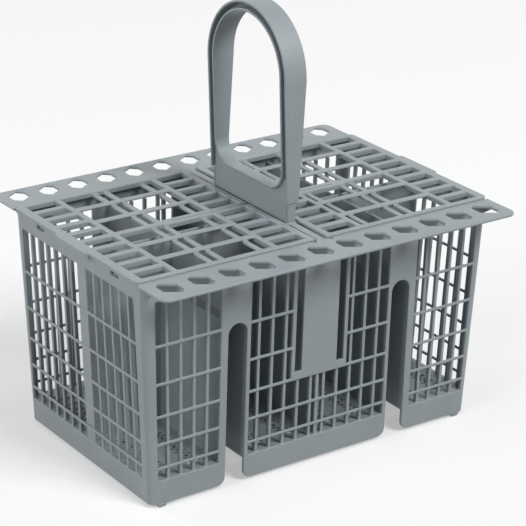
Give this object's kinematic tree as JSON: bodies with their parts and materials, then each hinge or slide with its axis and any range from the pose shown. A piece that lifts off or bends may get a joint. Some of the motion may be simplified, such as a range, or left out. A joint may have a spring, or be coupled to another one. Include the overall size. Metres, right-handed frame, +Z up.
{
  "type": "dishwasher cutlery basket",
  "caption": "Grey moulded cutlery basket with lattice walls, perforated side flanges, two hinged grid lids, arched tunnels for rack tines and a looped carrying handle.",
  "frame": {"origin": "under the middle of the basket, on the surface that its feet stand on", "axes": "+X to the right along the long side, +Y to the back across the flanges, +Z up"},
  "size_m": [0.2498, 0.1894, 0.2633],
  "materials": {
    "grey_plastic": "satin moulded polypropylene, mid grey"
  },
  "bodies": {
    "basket": {"basket_body": "grey_plastic", "handle": "grey_plastic"},
    "left_lid": {"left_lid": "grey_plastic"},
    "right_lid": {"right_lid": "grey_plastic"}
  },
  "joints": [
    {"name": "left_lid_hinge", "type": "hinge", "parent": "basket", "child": "left_lid", "pos_m": [-0.0058, 0, 0.1393], "axis": [0, 1, 0], "range_deg": [0, 85]},
    {"name": "right_lid_hinge", "type": "hinge", "parent": "basket", "child": "right_lid", "pos_m": [0.0058, 0, 0.1393], "axis": [0, -1, 0], "range_deg": [0, 85]}
  ]
}
